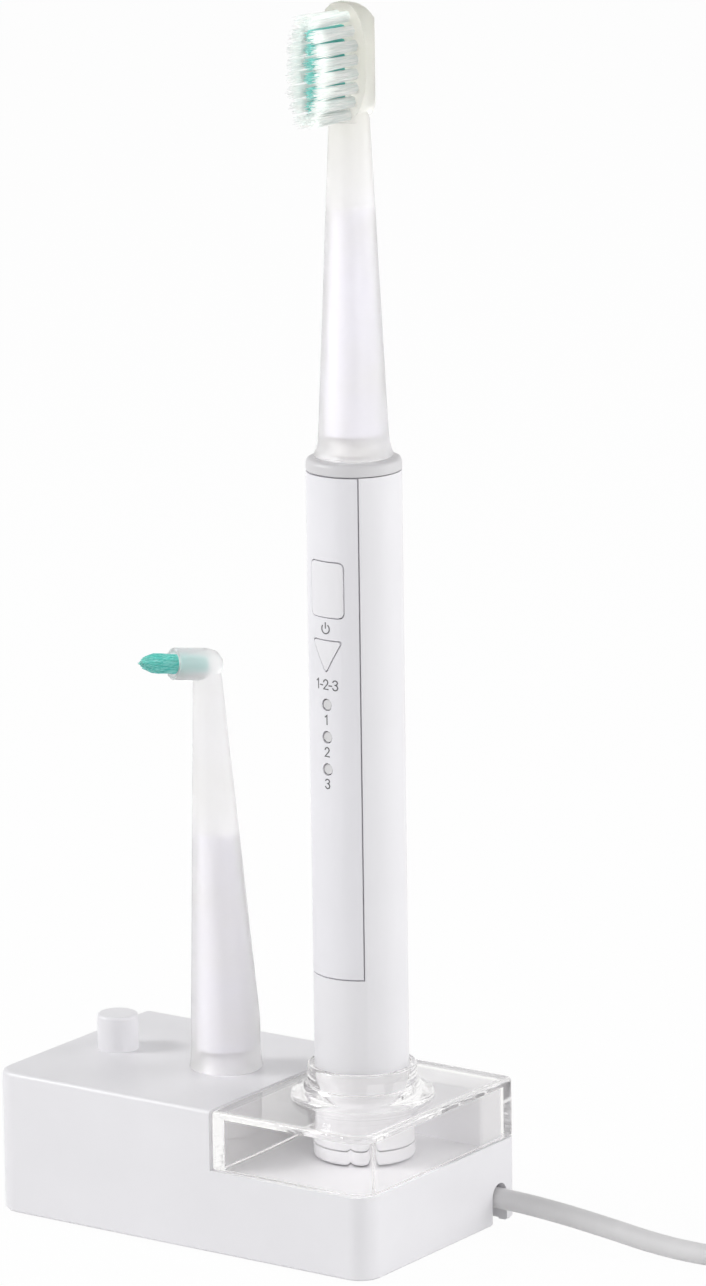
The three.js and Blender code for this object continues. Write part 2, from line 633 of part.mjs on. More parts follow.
// Oval of the head's plate, fuller than an ellipse.
function plateOutline() {
  const power = 2 / 2.4;
  const shape = new THREE.Shape();
  const count = 26;
  for (let i = 0; i < count; i += 1) {
    const a = (2 * Math.PI * i) / count;
    const x = PLATE.halfX * Math.sign(Math.cos(a)) * Math.abs(Math.cos(a)) ** power;
    const z = PLATE.z + PLATE.halfZ * Math.sign(Math.sin(a)) * Math.abs(Math.sin(a)) ** power;
    if (i === 0) shape.moveTo(x, z);
    else shape.lineTo(x, z);
  }
  return shape;
}

// Side view of the plate: flat bristle face at the front, back drawn in towards the tip.
function plateSide() {
  const { z, halfZ, front, back } = PLATE;
  const side = new THREE.Shape();
  side.moveTo(front + 0.6, z - halfZ - 1);
  side.quadraticCurveTo(front, z - halfZ + 1, front, z - halfZ + 3);
  side.lineTo(front, z + halfZ - 1.2);
  side.quadraticCurveTo(front, z + halfZ, front + 1.2, z + halfZ);
  side.quadraticCurveTo(back - 2.2, z + halfZ, back - 1.2, z + halfZ - 6);
  side.quadraticCurveTo(back, z + 1, back, z - halfZ - 1);
  side.closePath();
  return solidOf(
    new THREE.ExtrudeGeometry(side, { depth: 20, bevelEnabled: false, curveSegments: 4 })
      .translate(0, 0, -10).applyMatrix4(new THREE.Matrix4().set(0, 0, 1, 0, 1, 0, 0, 0, 0, 1, 0, 0, 0, 0, 0, 1)),
  );
}

// Cross-section of the plate, seen from above: square front edges, rounded back.
function plateSection() {
  const { halfX, front, back } = PLATE;
  const wide = halfX + 0.1;
  const shape = new THREE.Shape();
  shape.moveTo(-wide + 0.7, front);
  shape.lineTo(wide - 0.7, front);
  shape.quadraticCurveTo(wide, front, wide, front + 0.9);
  shape.bezierCurveTo(wide, 1.6, 4.4, back, 0, back);
  shape.bezierCurveTo(-4.4, back, -wide, 1.6, -wide, front + 0.9);
  shape.quadraticCurveTo(-wide, front, -wide + 0.7, front);
  return prism(shape, 60, 100, 0, 0, 4);
}

function neck(top, segments = 28) {
  const heights = [0.25, 1.2, 2.8, 5, ...steps(5, top, 2).slice(1)];
  const crown = neckRadius(top);
  return revolve([
    [0, 0],
    [neckRadius(0) - 0.3, 0],
    ...heights.map((z) => [neckRadius(z), z]),
    ...arc(0, top, crown, 30, 60, 1),
    [0, top + crown],
  ], segments);
}

// Room for the core and the socket inside a head's skin.
function coreRoom(coreTop, segments = 18) {
  const spare = 0.2;
  return revolve([
    [0, -1],
    [SOCKET_R, -1],
    [SOCKET_R, CORE_Z - spare],
    [neckRadius(CORE_Z) - SKIN + spare, CORE_Z - spare],
    [neckRadius(coreTop) - SKIN + spare, coreTop],
    [0, coreTop + 0.6],
  ], segments);
}

function coreBody(coreTop, segments = 18) {
  return revolve([
    [0, 9],
    [SOCKET_R, 9],
    [SOCKET_R, CORE_Z],
    [neckRadius(CORE_Z) - SKIN, CORE_Z],
    [neckRadius(coreTop) - SKIN, coreTop - 0.4],
    [0, coreTop],
  ], segments);
}

// The neck's front ends in a ledge under the lowest tufts, where the plate's flat face begins.
function headShell() {
  const plate = facing(plateOutline(), -10, 10).intersect(plateSide()).intersect(plateSection());
  const holes = [...WHITE_PLACES, ...GREEN_PLACES].map(([x, z]) => tuftHole(x, z));
  const ledge = ROW_CENTRE + ROWS[0] - TUFT.rz - TUFT.clearance - 0.1;
  const aboveLedge = block(-9, -9, ledge, 9, PLATE.front + 0.1, ledge + 12);
  return without(joined(without(neck(70), aboveLedge), plate), coreRoom(52.2), ...holes);
}

// The core's bore takes the shaft; a flat in it keys the shaft's own flat.
function headCore() {
  const bore = without(disc(1.8, 8, 24, 16), block(-3, 1.25, 8, 3, 3, 25));
  return without(coreBody(52.2), bore);
}

// Tufts stand in holes in the plate, in rows, and splay until their tips touch.
const ROWS = [-10.15, -7.25, -4.35, -1.45, 1.45, 4.35, 7.25, 10.15];
const ROW_CENTRE = PLATE.z - 1;
const TUFT = { rx: 1, rz: 1.15, hole: 1.6, clearance: 0.2 };
const WHITE = { length: 12, tipX: 1.5, tipZ: 1.75, sides: { 10.15: 1.32, 7.25: 2.5, 4.35: 3.25, 1.45: 3.35 } };
const GREEN = { length: 10.8, tipX: 1.2, tipZ: 1.56, endX: 0.7, endZ: 1.3, drawn: 0.965 };

const oval = (x, z, rx, rz, y, count = 7) => Array.from({ length: count }, (_, i) => {
  const a = (2 * Math.PI * i) / count;
  return [x + rx * Math.cos(a), y, z + rz * Math.sin(a)];
});

// Skins a stack of ovals, listed from the plate towards the tips, and closes both ends.
function skinned(layers) {
  const count = layers[0].length;
  const last = (layers.length - 1) * count;
  const faces = [];
  for (let start = 0; start < last; start += count) {
    for (let i = 0; i < count; i += 1) {
      const a = start + i;
      const b = start + ((i + 1) % count);
      faces.push(a, b, a + count, b, b + count, a + count);
    }
  }
  for (let i = 1; i < count - 1; i += 1) {
    faces.push(0, i + 1, i);
    faces.push(last, last + i, last + i + 1);
  }
  const geometry = new THREE.BufferGeometry();
  geometry.setAttribute('position', new THREE.Float32BufferAttribute(layers.flat(2), 3));
  geometry.setIndex(faces);
  return solidOf(geometry);
}

function tuft(x, z, length, tipX, tipZ, drawn = 1) {
  const { front } = PLATE;
  return skinned([
    oval(x, z, TUFT.rx, TUFT.rz, front + TUFT.hole - GAP),
    oval(x, z * drawn + PLATE.z * (1 - drawn), tipX, tipZ, front - length),
  ]);
}

function tuftHole(x, z) {
  const [rx, rz] = [TUFT.rx + TUFT.clearance, TUFT.rz + TUFT.clearance];
  return skinned([oval(x, z, rx, rz, PLATE.front + TUFT.hole), oval(x, z, rx, rz, PLATE.front - 1)]);
}

const WHITE_PLACES = ROWS.flatMap((row) => [-1, 1].map((side) => [side * WHITE.sides[Math.abs(row)], ROW_CENTRE + row]));
const GREEN_PLACES = ROWS.slice(1, -1).map((row) => [0, ROW_CENTRE + row]);
const isEnd = (z) => Math.abs(z - ROW_CENTRE) > 7;

const whiteBristles = () => joined(...WHITE_PLACES.map(([x, z]) => tuft(x, z, WHITE.length, WHITE.tipX, WHITE.tipZ)));
const greenBristles = () => joined(...GREEN_PLACES.map(([x, z]) => (isEnd(z)
  ? tuft(x, z, GREEN.length, GREEN.endX, GREEN.endZ, GREEN.drawn)
  : tuft(x, z, GREEN.length, GREEN.tipX, GREEN.tipZ))));

const head = new THREE.Group();
head.position.z = HEAD_Z;
handset.add(head);
add(head, 'brush_head_shell', headShell(), frosted);
add(head, 'brush_head_core', headCore(), innerWhite);
add(head, 'white_bristles', whiteBristles(), whiteNylon);
add(head, 'green_bristles', greenBristles(), greenNylon);

// ---------------------------------------------------------------- spare head
// The spare's neck leans forward, and ends in a barrel that holds one pointed tuft.
const LEAN_FROM = 11;
const LEAN = 0.0405;
const BARREL = { z: 88.7, r: 3.5, front: 11.7, rise: 9, recess: 7.9 };
const SPARE_CORE = 52.3;

function leaned(solid) {
  return solid.warp((point) => {
    if (point[2] > LEAN_FROM) point[1] -= LEAN * (point[2] - LEAN_FROM);
  });
}

function spareNeckRadius(z) {
  if (z < 5) return 7.43 + 0.49 * ((5 - z) / 5) ** 2;
  return 7.43 - 0.01 * Math.min(z - 5, 6) - 0.0575 * Math.max(z - 11, 0);
}

// Places a solid made along +Z so that it runs forward along the barrel from its back end.
function alongBarrel(solid) {
  return solid.rotate([90 - BARREL.rise, 0, 0]).translate([0, -BARREL.shift, BARREL.z]);
}
BARREL.shift = LEAN * (BARREL.z - LEAN_FROM);
BARREL.length = BARREL.front - BARREL.shift;

function spareShell() {
  const heights = [0.25, 1.2, 2.6, 5, 11, ...steps(11, 87, 2).slice(1)];
  const outer = leaned(revolve([
    [0, 0],
    [spareNeckRadius(0) - 0.3, 0],
    ...heights.map((z) => [spareNeckRadius(z), z]),
    [2.4, 89.2],
    [0, 90.2],
  ], 22));
  const barrel = alongBarrel(revolve([
    [0, -3.4], [1.9, -3], [3, -1.8], [BARREL.r, 0.4], [BARREL.r - 0.1, BARREL.length - 0.4],
    [BARREL.r - 0.45, BARREL.length], [0, BARREL.length],
  ], 20));
  const mouth = alongBarrel(disc(2.5, BARREL.length - BARREL.recess, BARREL.length + 1, 16));
  const room = leaned(revolve([
    [0, -1],
    [SOCKET_R, -1],
    [SOCKET_R, CORE_Z - 0.2],
    [spareNeckRadius(CORE_Z) - SKIN + 0.2, CORE_Z - 0.2],
    [spareNeckRadius(LEAN_FROM) - SKIN + 0.2, LEAN_FROM],
    [spareNeckRadius(SPARE_CORE) - SKIN + 0.2, SPARE_CORE],
    [0, SPARE_CORE + 0.6],
  ], 16));
  return without(joined(outer, barrel), mouth, room);
}

function spareCore() {
  const body = leaned(revolve([
    [0, 9],
    [SOCKET_R, 9],
    [SOCKET_R, CORE_Z],
    [spareNeckRadius(CORE_Z) - SKIN, CORE_Z],
    [spareNeckRadius(LEAN_FROM) - SKIN, LEAN_FROM],
    [spareNeckRadius(SPARE_CORE) - SKIN, SPARE_CORE - 0.4],
    [0, SPARE_CORE],
  ], 16));
  return without(body, without(disc(1.8, 8, 24, 16), block(-3, 1.25, 8, 3, 3, 25)));
}

// Pointed tuft, gathered at the root and swelling before its tip.
const spareTuft = () => alongBarrel(revolve([
  [0, 0], [1.9, 0], [2.15, 7], [2.2, 8.8], [2.1, 10.4], [1.6, 12.8], [0.95, 14.5], [0, 15.4],
].map(([r, z]) => [r, z + BARREL.length - BARREL.recess + GAP]), 14));

add(spare, 'spare_head_shell', spareShell(), frosted);
add(spare, 'spare_head_core', spareCore(), innerWhite);
add(spare, 'spare_tuft', spareTuft(), greenNylon);

// ---------------------------------------------------------------- cord, coil, tie and plug
const CORD_R = CORD_D / 2;
const COIL = { x: 159, y: -10.6, bottom: 1, turns: [20, 24.5, 29], layers: 2 };
COIL.inner = COIL.turns[0] - CORD_R;
COIL.outer = COIL.turns.at(-1) + CORD_R;
COIL.top = COIL.bottom + COIL.layers * CORD_D;
const LAY_Y = COIL.y + COIL.outer + GAP + CORD_R;    // the cord comes in beside the outer turn
const LEAVE_Y = COIL.y + COIL.turns.at(-1);          // and leaves the top layer along +X

// From the tunnel down to the table, then along it to the coil.
const CORD_ROUTE = [
  [42.2, CORD_Y, CORD_EXIT_Z],
  [48.5, CORD_Y, CORD_EXIT_Z],
  [54.6, CORD_Y, 5.96],
  [64.8, CORD_Y, 5.3],
  [76.9, CORD_Y, 4.05],
  [86.5, CORD_Y, 2.95],
  [95.5, CORD_Y + 0.2, 2.4],
  [106, 22.8, 2.28],
  [117, LAY_Y, 2.28],
  [135, LAY_Y, 2.28],
  [147, LAY_Y, 2.8],
  [158.5, LAY_Y, 3.25],
];

const coilRing = () => revolve([
  ...arc(COIL.inner + 1.2, COIL.bottom + 1.2, 1.2, 180, 270, 1),
  ...arc(COIL.outer - 1.2, COIL.bottom + 1.2, 1.2, -90, 0, 1),
  ...arc(COIL.outer - 1.2, COIL.top - 1.2, 1.2, 0, 90, 1),
  ...arc(COIL.inner + 1.2, COIL.top - 1.2, 1.2, 90, 180, 1),
], 20).translate([COIL.x, COIL.y, 0]);

// Tie: a flat band once around the coil's bundle, with its lock on the outside.
function cableTie() {
  const band = 0.7;
  const frame = (grow) => roundedRect(
    COIL.inner - GAP - grow, COIL.bottom - GAP - grow, COIL.outer + GAP + grow, COIL.top + GAP + grow, 1,
  );
  const loop = without(facing(frame(band), -2, 2, 2), facing(frame(0), -3, 3, 2));
  const lock = block(COIL.inner - GAP - 3.4, -3, 3.6, COIL.inner - GAP - 0.4, 3, 7.6);
  return joined(loop, lock).rotate([0, 0, 8]).translate([COIL.x, COIL.y, 0]);
}

const PLUG = { tail: 176, relief: 180.3, front: 216, height: 15.5, halfWidth: 9.5, bladeEnd: 233.5, spread: 6.35 };
PLUG.z = COIL.top - CORD_R;

// The plug lies flat with its blades along +X; its grip narrows to a waist behind the shoulders.
function plugBody() {
  const { relief, front, height, halfWidth } = PLUG;
  const taper = revolve([[0, 0], [2.7, 0], [2.9, 0.5], [4.6, 14], [0, 14]], 12).rotate([0, 90, 0]);
  const plan = new THREE.Shape();
  plan.moveTo(12, -halfWidth + 2);
  plan.quadraticCurveTo(20, -halfWidth + 3.2, 28, -halfWidth);
  plan.lineTo(front - relief, -halfWidth);
  plan.lineTo(front - relief, halfWidth);
  plan.lineTo(28, halfWidth);
  plan.quadraticCurveTo(20, halfWidth - 3.2, 12, halfWidth - 2);
  plan.closePath();
  const grip = prism(plan, -height / 2, height / 2, 1, 1, 4);
  return joined(taper, grip).translate([relief, LEAVE_Y, PLUG.z]);
}

function plugBlade(side) {
  const x0 = PLUG.front + GAP;
  const y = LEAVE_Y + side * PLUG.spread;
  const blade = block(x0, y - 0.75, PLUG.z - 3.1, PLUG.bladeEnd, y + 0.75, PLUG.z + 3.1);
  return without(blade, facing(new THREE.Shape().absarc(x0 + 11, PLUG.z, 1.5, 0, 2 * Math.PI), y - 1, y + 1, 5));
}

const straight = (x0, x1, y, z) => disc(CORD_R, x0, x1, 8).rotate([0, 90, 0]).translate([0, y, z]);

add(object, 'cord', tube(CORD_ROUTE, CORD_R, 12, 8), cordGrey);
add(object, 'cord_coil', coilRing(), cordGrey);
add(object, 'cable_tie', cableTie(), darkRubber);
add(object, 'cord_end', straight(PLUG.tail, PLUG.relief - GAP, LEAVE_Y, PLUG.z), cordGrey);
add(object, 'plug_body', plugBody(), cordGrey);
[-1, 1].forEach((side, i) => add(object, `plug_blade_${i + 1}`, plugBlade(side), brassPin));

export default object;
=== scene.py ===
"""Looks of an electric toothbrush standing in its charger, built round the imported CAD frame. Metres."""

import json
import math
import random

import bpy
import numpy as np
from mathutils import Matrix, Vector


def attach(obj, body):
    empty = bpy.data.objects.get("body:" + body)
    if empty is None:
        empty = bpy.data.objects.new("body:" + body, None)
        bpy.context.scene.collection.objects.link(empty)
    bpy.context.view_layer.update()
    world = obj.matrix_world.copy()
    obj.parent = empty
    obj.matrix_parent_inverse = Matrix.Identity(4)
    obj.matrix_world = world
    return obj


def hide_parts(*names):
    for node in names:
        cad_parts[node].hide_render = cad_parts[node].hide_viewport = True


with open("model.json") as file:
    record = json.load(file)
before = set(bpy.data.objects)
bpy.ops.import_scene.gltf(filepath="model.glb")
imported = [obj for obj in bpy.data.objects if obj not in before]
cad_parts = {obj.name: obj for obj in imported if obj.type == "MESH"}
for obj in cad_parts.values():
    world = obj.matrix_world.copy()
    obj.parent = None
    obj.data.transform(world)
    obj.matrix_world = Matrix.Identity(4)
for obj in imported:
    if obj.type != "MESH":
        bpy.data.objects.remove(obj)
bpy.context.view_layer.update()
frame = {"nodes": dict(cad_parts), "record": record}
nodes = frame["nodes"]
scene = bpy.context.scene
MM = 0.001

# ---------------------------------------------------------------- driving values, as in the part's source
HANDLE_X = 28.5 * MM
HANDLE_Z = 18.8 * MM  # the handle's foot
HANDLE_R = 10 * MM
HANDLE_TURN = math.radians(-4.5)
CORD_R = 2.25 * MM
HEAD_Z = HANDLE_Z + 150.3 * MM  # the brush head's foot
ROWS_Z = HEAD_Z + 81.4 * MM  # the middle of the rows of tufts
PLATE_FRONT = -2.2 * MM
SPARE_X = -6.9 * MM
SPARE_Z = 32.0 * MM
SPARE_TURN = math.radians(-21)

# ---------------------------------------------------------------- camera
CAMERA_TARGET = Vector((27.655, 0, 129.075)) * MM
CAMERA_DISTANCE = 1.49748
CAMERA_AZIMUTH = math.radians(35.03)  # to the right of the charger's front
CAMERA_PITCH = math.radians(13.07)  # above the table
CAMERA_ROLL = math.radians(-0.789)
SENSOR_WIDTH = 36  # millimetres, as is the focal length
FOCAL_LENGTH = 201.56
NEAR_CLIP, FAR_CLIP = 0.05, 20


def add_camera():
    """The photo's viewpoint, from the front right and a little above, through a long lens."""
    level = math.cos(CAMERA_PITCH)
    back = Vector((
        math.sin(CAMERA_AZIMUTH) * level,
        -math.cos(CAMERA_AZIMUTH) * level,
        math.sin(CAMERA_PITCH),
    ))
    right = Vector((math.cos(CAMERA_AZIMUTH), math.sin(CAMERA_AZIMUTH), 0))
    up = back.cross(right)
    turned_right = right * math.cos(CAMERA_ROLL) + up * math.sin(CAMERA_ROLL)
    turned_up = up * math.cos(CAMERA_ROLL) - right * math.sin(CAMERA_ROLL)
    data = bpy.data.cameras.new("camera")
    data.sensor_width = SENSOR_WIDTH
    data.lens = FOCAL_LENGTH
    data.clip_start, data.clip_end = NEAR_CLIP, FAR_CLIP
    camera = bpy.data.objects.new("camera", data)
    scene.collection.objects.link(camera)
    place = Matrix((turned_right, turned_up, back)).transposed().to_4x4()
    place.translation = CAMERA_TARGET + back * CAMERA_DISTANCE
    camera.matrix_world = place
    scene.camera = camera


add_camera()


# ---------------------------------------------------------------- materials
def srgb(red, green, blue):
    """Linear colour of an 8-bit display colour."""
    parts = [c / 255 for c in (red, green, blue)]
    return tuple(c / 12.92 if c <= 0.04045 else ((c + 0.055) / 1.055) ** 2.4 for c in parts)


def add_node(tree, kind, inputs=None, **settings):
    """A new shader node. An input that is a socket is linked, and any other is set as a value."""
    made = tree.nodes.new("ShaderNode" + kind)
    for key, value in settings.items():
        setattr(made, key, value)
    for key, value in (inputs or {}).items():
        if isinstance(value, bpy.types.NodeSocket):
            tree.links.new(value, made.inputs[key])
        else:
            made.inputs[key].default_value = value
    return made


class Material:
    """A Principled material whose colour, roughness and bump vary a little over the surface."""

    def __init__(self, name, color, roughness, metallic=0.0, **inputs):
        self.data = bpy.data.materials.new(name)
        self.data.use_nodes = True
        self.tree = self.data.node_tree
        self.shader = self.tree.nodes["Principled BSDF"]
        self.color = color
        self.shader.inputs["Base Color"].default_value = (*color, 1)
        self.shader.inputs["Roughness"].default_value = roughness
        self.shader.inputs["Metallic"].default_value = metallic
        for key, value in inputs.items():
            self.shader.inputs[key.replace("_", " ")].default_value = value
        self.place = self.node("TexCoord").outputs["Object"]

    def node(self, kind, inputs=None, **settings):
        return add_node(self.tree, kind, inputs, **settings)

    def noise(self, size, detail, stretch=(1, 1, 1)):
        """Noise whose lumps are about size across, in metres; stretch makes them longer along an axis."""
        scale = tuple(1 / (size * s) for s in stretch)
        mapping = self.node("Mapping", {"Vector": self.place, "Scale": scale})
        made = self.node("TexNoise", {"Vector": mapping.outputs["Vector"], "Scale": 1, "Detail": detail})
        return made.outputs["Fac"]

    def ranged(self, value, low, high, from_low=0.3, from_high=0.7):
        """From low to high as value goes through its range, which suits a noise where none is given."""
        made = self.node("MapRange", {
            "Value": value, "From Min": from_low, "From Max": from_high, "To Min": low, "To Max": high,
        })
        return made.outputs["Result"]

    def vary_color(self, value, other):
        """Colour that is the material's own where value is 0 and other where it is 1."""
        ends = {"A": (*self.color, 1), "B": (*other, 1)}
        made = self.node("Mix", {"Factor": value, **ends}, data_type="RGBA")
        self.tree.links.new(made.outputs["Result"], self.shader.inputs["Base Color"])

    def drift(self, size, other):
        """Tone that drifts towards other in patches about size across."""
        self.vary_color(self.ranged(self.noise(size, 3), 0, 1), other)

    def vary_roughness(self, value, low, high):
        """Roughness from low to high as value, a noise, goes through its range."""
        self.tree.links.new(self.ranged(value, low, high), self.shader.inputs["Roughness"])

    def bump(self, height, depth, strength=1.0):
        """Raises the surface by depth metres where height is 1."""
        made = self.node("Bump", {"Strength": strength, "Distance": depth, "Height": height})
        last = self.shader.inputs["Normal"]
        if last.is_linked:
            self.tree.links.new(last.links[0].from_socket, made.inputs["Normal"])
        self.tree.links.new(made.outputs["Normal"], last)

    def waves(self, size, stretch=(1, 1, 1)):
        """The shallow waves that a mould leaves."""
        self.bump(self.noise(size, 1, stretch), 0.03 * MM, strength=0.5)

    def mix_shader(self, share, other):
        """The surface shows other by this share, a socket, and its own shader by the rest."""
        mix = self.node("MixShader", {0: share, 1: self.shader.outputs[0], 2: other.outputs[0]})
        self.tree.links.new(mix.outputs[0], self.tree.nodes["Material Output"].inputs["Surface"])

    def lets_lamps_through(self, share):
        """Rays to the lamps pass straight through by this share, so that what is behind is lit."""
        opening = self.node("BsdfTransparent", {"Color": (share, share, share, 1)})
        self.mix_shader(self.node("LightPath").outputs["Is Shadow Ray"], opening)


DULLEST = 1.3  # share by which uneven gloss raises a roughness


def moulded(name, color, roughness, grain=None, depth=None, **inputs):
    """Moulded plastic or rubber: drifting tone, uneven gloss, waves and, where asked, a grained skin.
    Roughness runs from this value upwards."""
    darker = tuple(c * 0.97 for c in color)
    made = Material(name, color, roughness, **inputs)
    made.drift(22 * MM, darker)
    made.vary_roughness(made.noise(7 * MM, 5), roughness, roughness * DULLEST)
    made.waves(16 * MM)
    if grain:
        made.bump(made.noise(grain, 3), depth)
    return made


def clear_acrylic():
    """Polished clear acrylic: moulding waves, a trace of haze and fine rub marks on its gloss."""
    made = Material("clear_plastic", srgb(254, 253.4, 252.6), 0.02, IOR=1.49, Transmission_Weight=1.0)
    made.vary_roughness(made.noise(5 * MM, 5), 0.008, 0.035)
    made.waves(9 * MM)
    made.lets_lamps_through(0.96)
    return made


def frosted_polypropylene():
    """Natural polypropylene: milky, with light passing through it, and a satin skin.
    The brush head's is creamier towards its plate, where it is thicker."""
    thin_z, thick_z = 222 * MM, 246 * MM
    made = Material(
        "frosted_plastic", srgb(247, 246, 248), 0.3, IOR=1.4,
        Transmission_Weight=0.74, Subsurface_Weight=0.5, Subsurface_Scale=0.003,
        Subsurface_Radius=(1.0, 0.98, 1.0),
    )
    height = made.node("SeparateXYZ", {0: made.place}).outputs["Z"]
    cloudy = made.ranged(made.noise(12 * MM, 3), 0, 0.3)
    thick = made.ranged(height, 0, 0.7, thin_z, thick_z)
    both = made.node("Math", {0: cloudy, 1: thick}, operation="ADD", use_clamp=True)
    made.vary_color(both.outputs[0], srgb(234, 233, 224))
    made.vary_roughness(made.noise(6 * MM, 4), 0.29, 0.4)
    made.waves(10 * MM, stretch=(1, 1, 4))
    made.lets_lamps_through(0.97)
    return made


def nylon(name, color, other):
    """Filament nylon: slightly see-through, with painted shade: its colour streaks towards a darker one
    along the filaments, for the shade between clumps of them.
    """
    made = Material(
        name, color, 0.36, IOR=1.4, Transmission_Weight=0.2,
        Subsurface_Weight=0.9, Subsurface_Scale=0.0012, Subsurface_Radius=(0.9, 1.0, 0.98),
    )
    # Painted shade: darker streaks along the filaments stand for the shade that falls between clumps of
    # them.
    clump_shade = made.noise(0.38 * MM, 1, stretch=(1, 16, 1))
    made.vary_color(made.ranged(clump_shade, 0, 1, 0.38, 0.62), other)
    made.bump(made.noise(0.2 * MM, 1, stretch=(1, 20, 1)), 0.01 * MM)
    made.lets_lamps_through(0.992)
    return made


def sheath():
    """The cord's soft PVC, with uneven gloss and a faint grain."""
    made = Material("grey_cord", srgb(221, 220, 221), 0.42, Sheen_Weight=0.05)
    made.drift(8 * MM, srgb(214, 213, 214))
    made.vary_roughness(made.noise(3 * MM, 4), 0.36, 0.5)
    made.bump(made.noise(0.5 * MM, 2), 0.012 * MM)
    return made


def brushed(name, color, along=(1, 1, 12)):
    """Bare metal with fine marks along one axis."""
    roughness = 0.38
    darker = tuple(c * 0.88 for c in color)
    made = Material(name, color, roughness, metallic=1.0)
    marks = made.noise(0.25 * MM, 3, along)
    made.vary_roughness(marks, roughness * 0.78, roughness * DULLEST)
    made.drift(4 * MM, darker)
    made.bump(marks, 0.004 * MM)
    return made


def wound_copper():
    """Enamelled copper wire, seen as fine rings."""
    made = Material("copper", srgb(196, 118, 62), 0.35, metallic=1.0)
    wave = {"Vector": made.place, "Scale": 1 / (0.9 * MM), "Distortion": 0.4}
    rings = made.node("TexWave", wave, wave_type="BANDS", bands_direction="Z").outputs["Fac"]
    made.bump(rings, 0.08 * MM)
    made.vary_color(rings, srgb(150, 80, 40))
    return made


def circuit_board():
    """Solder mask with copper tracks just visible under it."""
    made = Material("board", srgb(42, 104, 66), 0.35)
    brick = {"Vector": made.place, "Scale": 260, "Mortar Size": 0.06}
    tracks = made.node("TexBrick", brick).outputs["Fac"]
    made.vary_color(tracks, srgb(70, 140, 84))
    made.bump(tracks, 0.03 * MM)
    return made


RUBBER_SKIN = {"grain": 0.5 * MM, "depth": 0.02 * MM}

# The look of each of the record's material slots.
SLOT_LOOKS = {
    "white_plastic": moulded("white_plastic", srgb(234, 233, 236), 0.29),
    "grey_plastic": moulded("grey_plastic", srgb(211, 210, 212), 0.32),
    "inner_plastic": moulded("inner_plastic", srgb(243, 242, 249), 0.45),
    "lens": moulded("lens_plastic", srgb(214, 213, 214), 0.29, Coat_Weight=0.3),
    "cell_wrap": moulded("cell_wrap", srgb(58, 140, 100), 0.3, Coat_Weight=0.4),
    "grey_rubber": moulded("grey_rubber", srgb(170, 170, 172), 0.75, **RUBBER_SKIN),
    "dark_rubber": moulded("dark_rubber", srgb(58, 58, 60), 0.7, **RUBBER_SKIN),
    "ferrite": moulded("ferrite", srgb(52, 52, 56), 0.6, grain=0.4 * MM, depth=0.03 * MM),
    "clear_plastic": clear_acrylic(),
    "frosted_plastic": frosted_polypropylene(),
    # The second, darker colour of each bristle look is painted shade between clumps of filaments.
    "white_bristle": nylon("white_bristle", srgb(245, 245, 243), srgb(226, 232, 230)),
    "green_bristle": nylon("green_bristle", srgb(146, 232, 225), srgb(92, 208, 198)),
    "grey_cord": sheath(),
    "steel": brushed("steel", srgb(196, 198, 200)),
    "brass": brushed("brass", srgb(206, 178, 112), along=(12, 1, 1)),
    "copper": wound_copper(),
    "board": circuit_board(),
}

# Two nodes have looks of their own: the panel is a shade off the shell, and the shaft's seal is pale.
NODE_LOOKS = {
    "front_panel": moulded("panel_plastic", srgb(233, 232, 236), 0.31),
    "shaft_seal": moulded("pale_rubber", srgb(232, 231, 229), 0.6, **RUBBER_SKIN),
}

# ---------------------------------------------------------------- dressing of the CAD nodes
# Millimetres by which moulding or finishing rounds each node's edges.
EDGE_RADIUS = {
    "base_housing": 0.25, "bottom_plate": 0.2, "clear_cover": 0.12, "handle_shell": 0.05,
    "front_panel": 0.05, "top_ring": 0.1, "bottom_cap": 0.12, "power_button": 0.06, "mode_button": 0.06,
    "brush_head_shell": 0.15, "spare_head_shell": 0.15, "plug_body": 0.8, "plug_blade_1": 0.3,
    "plug_blade_2": 0.3, "cable_tie": 0.25, "drive_shaft": 0.08, "shaft_seal": 0.1, "cord_bushing": 0.2,
}
FACET_NORMALS = ("custom_normal", "sharp_edge", "sharp_face")
WELD_DISTANCE = 0.0015 * MM
FLAT_ANGLE = math.radians(0.3)  # faces that meet at less than this are one flat
EDGE_ANGLE = math.radians(48)  # faces that meet at more than this form an edge


def dress_nodes():
    """Every CAD node takes its material, smooth shading, and small radii or sharp breaks along its edges."""
    for part in frame["record"]["subparts"]:
        name = part["node"]
        node = nodes[name]
        look = NODE_LOOKS.get(name) or SLOT_LOOKS[part["material_slot"]]
        mesh = node.data
        mesh.materials.clear()
        mesh.materials.append(look.data)
        mesh.polygons.foreach_set("material_index", [0] * len(mesh.polygons))
        for attribute in FACET_NORMALS:
            if attribute in mesh.attributes:
                mesh.attributes.remove(mesh.attributes[attribute])
        weld = node.modifiers.new("weld", "WELD")
        weld.merge_threshold = WELD_DISTANCE
        flats = node.modifiers.new("flats", "DECIMATE")
        flats.decimate_type = "DISSOLVE"
        flats.angle_limit = FLAT_ANGLE
        if name in EDGE_RADIUS:
            edges = node.modifiers.new("edges", "BEVEL")
            edges.width = EDGE_RADIUS[name] * MM
            edges.segments = 2
            edges.limit_method = "ANGLE"
            edges.angle_limit = EDGE_ANGLE
        else:
            split = node.modifiers.new("split", "EDGE_SPLIT")
            split.split_angle = EDGE_ANGLE
        normals = node.modifiers.new("normals", "WEIGHTED_NORMAL")
        normals.keep_sharp = True


dress_nodes()


# ---------------------------------------------------------------- mesh helpers
def add_mesh(name, vertices, faces, material, body):
    mesh = bpy.data.meshes.new(name)
    mesh.from_pydata([tuple(v) for v in vertices], [], faces)
    mesh.validate()
    mesh.materials.append(material.data)
    piece = bpy.data.objects.new(name, mesh)
    scene.collection.objects.link(piece)
    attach(piece, body)
    return piece


